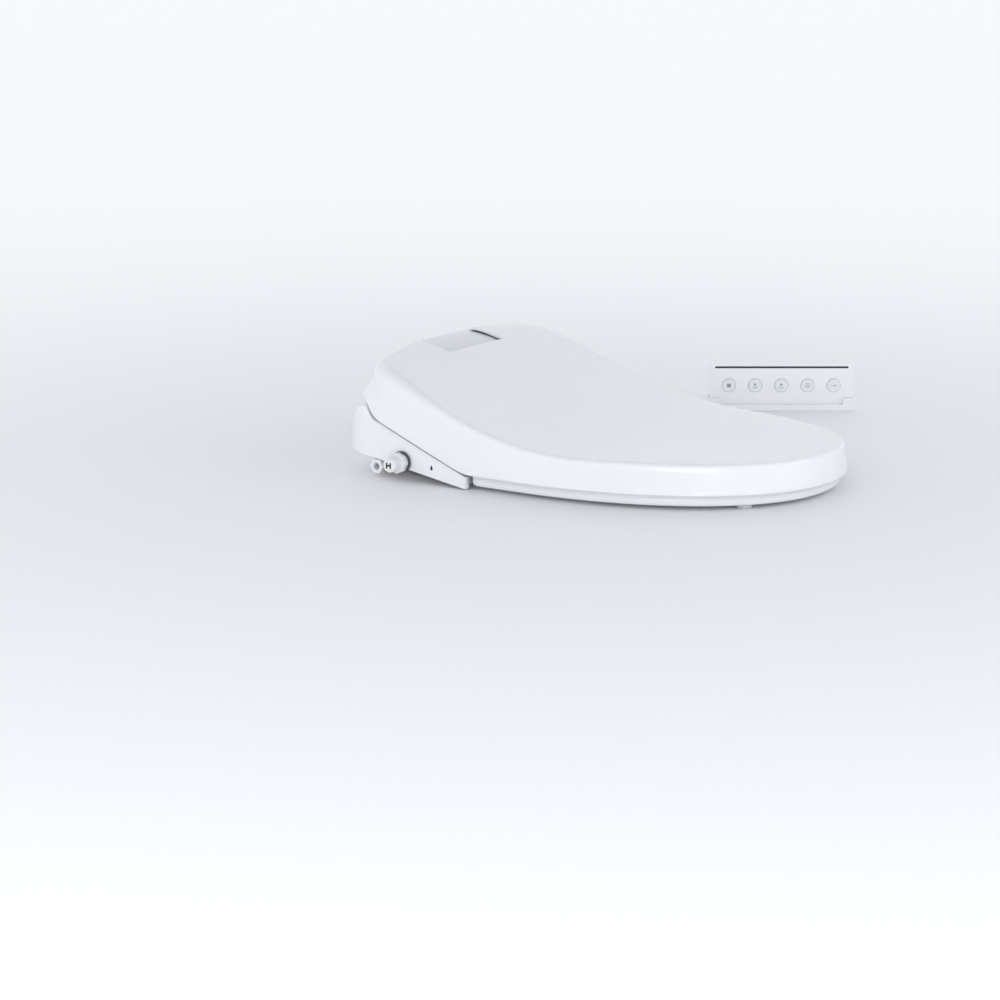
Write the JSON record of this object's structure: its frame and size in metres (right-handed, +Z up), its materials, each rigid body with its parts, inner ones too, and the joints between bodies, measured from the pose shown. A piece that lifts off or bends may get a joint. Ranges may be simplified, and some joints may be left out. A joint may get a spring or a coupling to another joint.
{
  "type": "electric bidet seat",
  "caption": "Toilet seat and lid hinged on a wash unit with a retracting spray wand, warm-air dryer and a stand-up remote.",
  "frame": {"origin": "middle of the line between the two mounting bolts, on the plane where the unit rests on the bowl", "axes": "+Z up out of the bowl's rim, front of the seat towards -Y, +X to the sitter's left"},
  "size_m": [0.7016, 0.5485, 0.1364],
  "materials": {
    "white_shell": "polished moulded ABS",
    "seat_white": "satin moulded polypropylene",
    "inner_plastic": "moulded engineering plastic",
    "dark_plastic": "moulded black plastic",
    "window_tint": "tinted clear panel",
    "board_green": "lacquered circuit board",
    "rubber_pad": "soft light rubber",
    "steel": "stainless steel",
    "wand_steel": "polished stainless steel",
    "nylon_gear": "natural nylon",
    "brass_fitting": "machined brass",
    "heater_foil": "heating foil",
    "carbon": "activated carbon cartridge",
    "key_grey": "moulded key",
    "grey_knob": "moulded white cap"
  },
  "bodies": {
    "wash_unit": {"base_case": "white_shell", "mounting_plate": "inner_plastic", "base_pads": "rubber_pad", "top_cover": "white_shell", "window_panel": "window_tint", "indicator_board": "board_green", "control_board": "board_green", "power_supply": "inner_plastic", "heater_tank": "inner_plastic", "tank_lid": "inner_plastic", "heater_elements": "steel", "inlet_valve": "inner_plastic", "solenoid_coil": "dark_plastic", "hose_inlet": "brass_fitting", "coupling_nut": "grey_knob", "water_pump": "dark_plastic", "wand_cradle": "inner_plastic", "wand_motor": "steel", "port_trim": "white_shell", "blower_housing": "inner_plastic", "blower_motor": "steel", "dryer_duct": "inner_plastic", "odour_filter": "carbon", "case_screws": "steel", "hinge_shafts": "steel", "lid_damper": "dark_plastic", "seat_damper": "dark_plastic", "cord_gland": "dark_plastic", "remote_bracket": "white_shell"},
    "seat": {"seat_top_shell": "seat_white", "seat_bottom_shell": "seat_white", "seat_heater": "heater_foil", "seat_bumpers": "rubber_pad"},
    "lid": {"lid_shell": "white_shell", "lid_bumpers": "rubber_pad"},
    "button": {"release_button": "key_grey"},
    "strainer": {"filter_cap": "grey_knob", "filter_screen": "steel"},
    "wand": {"wand_tube": "wand_steel", "wand_tip": "wand_steel", "wand_rack": "nylon_gear"},
    "pinion": {"drive_pinion": "nylon_gear"},
    "impeller": {"blower_impeller": "dark_plastic"},
    "remote": {"remote_front_case": "white_shell", "remote_back_case": "white_shell", "remote_board": "board_green", "remote_batteries": "steel", "battery_door": "white_shell", "remote_strip": "dark_plastic"},
    "key_stop_body": {"key_stop": "key_grey"},
    "key_rear_wash_body": {"key_rear_wash": "key_grey"},
    "key_front_wash_body": {"key_front_wash": "key_grey"},
    "key_dryer_body": {"key_dryer": "key_grey"},
    "key_pressure_body": {"key_pressure": "key_grey"}
  },
  "joints": [
    {"name": "seat_hinge", "type": "hinge", "parent": "wash_unit", "child": "seat", "pos_m": [0, 0.034, 0.075], "axis": [1, 0, 0], "range_deg": [-100, 0]},
    {"name": "lid_hinge", "type": "hinge", "parent": "seat", "child": "lid", "pos_m": [0, 0.034, 0.075], "axis": [-1, 0, 0], "range_deg": [0, 105]},
    {"name": "release_press", "type": "slide", "parent": "wash_unit", "child": "button", "axis": [-1, 0, 0], "range_m": [0, 0.003], "stiffness_N_per_m": 300},
    {"name": "strainer_turn", "type": "hinge", "parent": "wash_unit", "child": "strainer", "pos_m": [-0.19, -0.03, 0.022], "axis": [-1, 0, 0], "range_deg": [0, 90]},
    {"name": "wand_slide", "type": "slide", "parent": "wash_unit", "child": "wand", "axis": [0, -0.866, -0.5], "range_m": [0, 0.07]},
    {"name": "pinion_spin", "type": "hinge", "parent": "wash_unit", "child": "pinion", "pos_m": [0, -0.02869, 0.04778], "axis": [-1, 0, 0], "range_deg": [0, 502]},
    {"name": "impeller_spin", "type": "hinge", "parent": "wash_unit", "child": "impeller", "pos_m": [0.072, -0.01, 0.02], "axis": [0, 0, 1], "continuous": true},
    {"name": "remote_lift", "type": "slide", "parent": "wash_unit", "child": "remote", "axis": [0, 0, 1], "range_m": [0, 0.06]},
    {"name": "key_stop_press", "type": "slide", "parent": "remote", "child": "key_stop_body", "axis": [0.8348, 0.5505, 0], "range_m": [0, 0.0015], "stiffness_N_per_m": 400},
    {"name": "key_rear_wash_press", "type": "slide", "parent": "remote", "child": "key_rear_wash_body", "axis": [0.8348, 0.5505, 0], "range_m": [0, 0.0015], "stiffness_N_per_m": 400},
    {"name": "key_front_wash_press", "type": "slide", "parent": "remote", "child": "key_front_wash_body", "axis": [0.8348, 0.5505, 0], "range_m": [0, 0.0015], "stiffness_N_per_m": 400},
    {"name": "key_dryer_press", "type": "slide", "parent": "remote", "child": "key_dryer_body", "axis": [0.8348, 0.5505, 0], "range_m": [0, 0.0015], "stiffness_N_per_m": 400},
    {"name": "key_pressure_press", "type": "slide", "parent": "remote", "child": "key_pressure_body", "axis": [0.8348, 0.5505, 0], "range_m": [0, 0.0015], "stiffness_N_per_m": 400}
  ],
  "couplings": [
    {"joint": "pinion_spin", "follows": "wand_slide", "rad_per_m": 125}
  ]
}
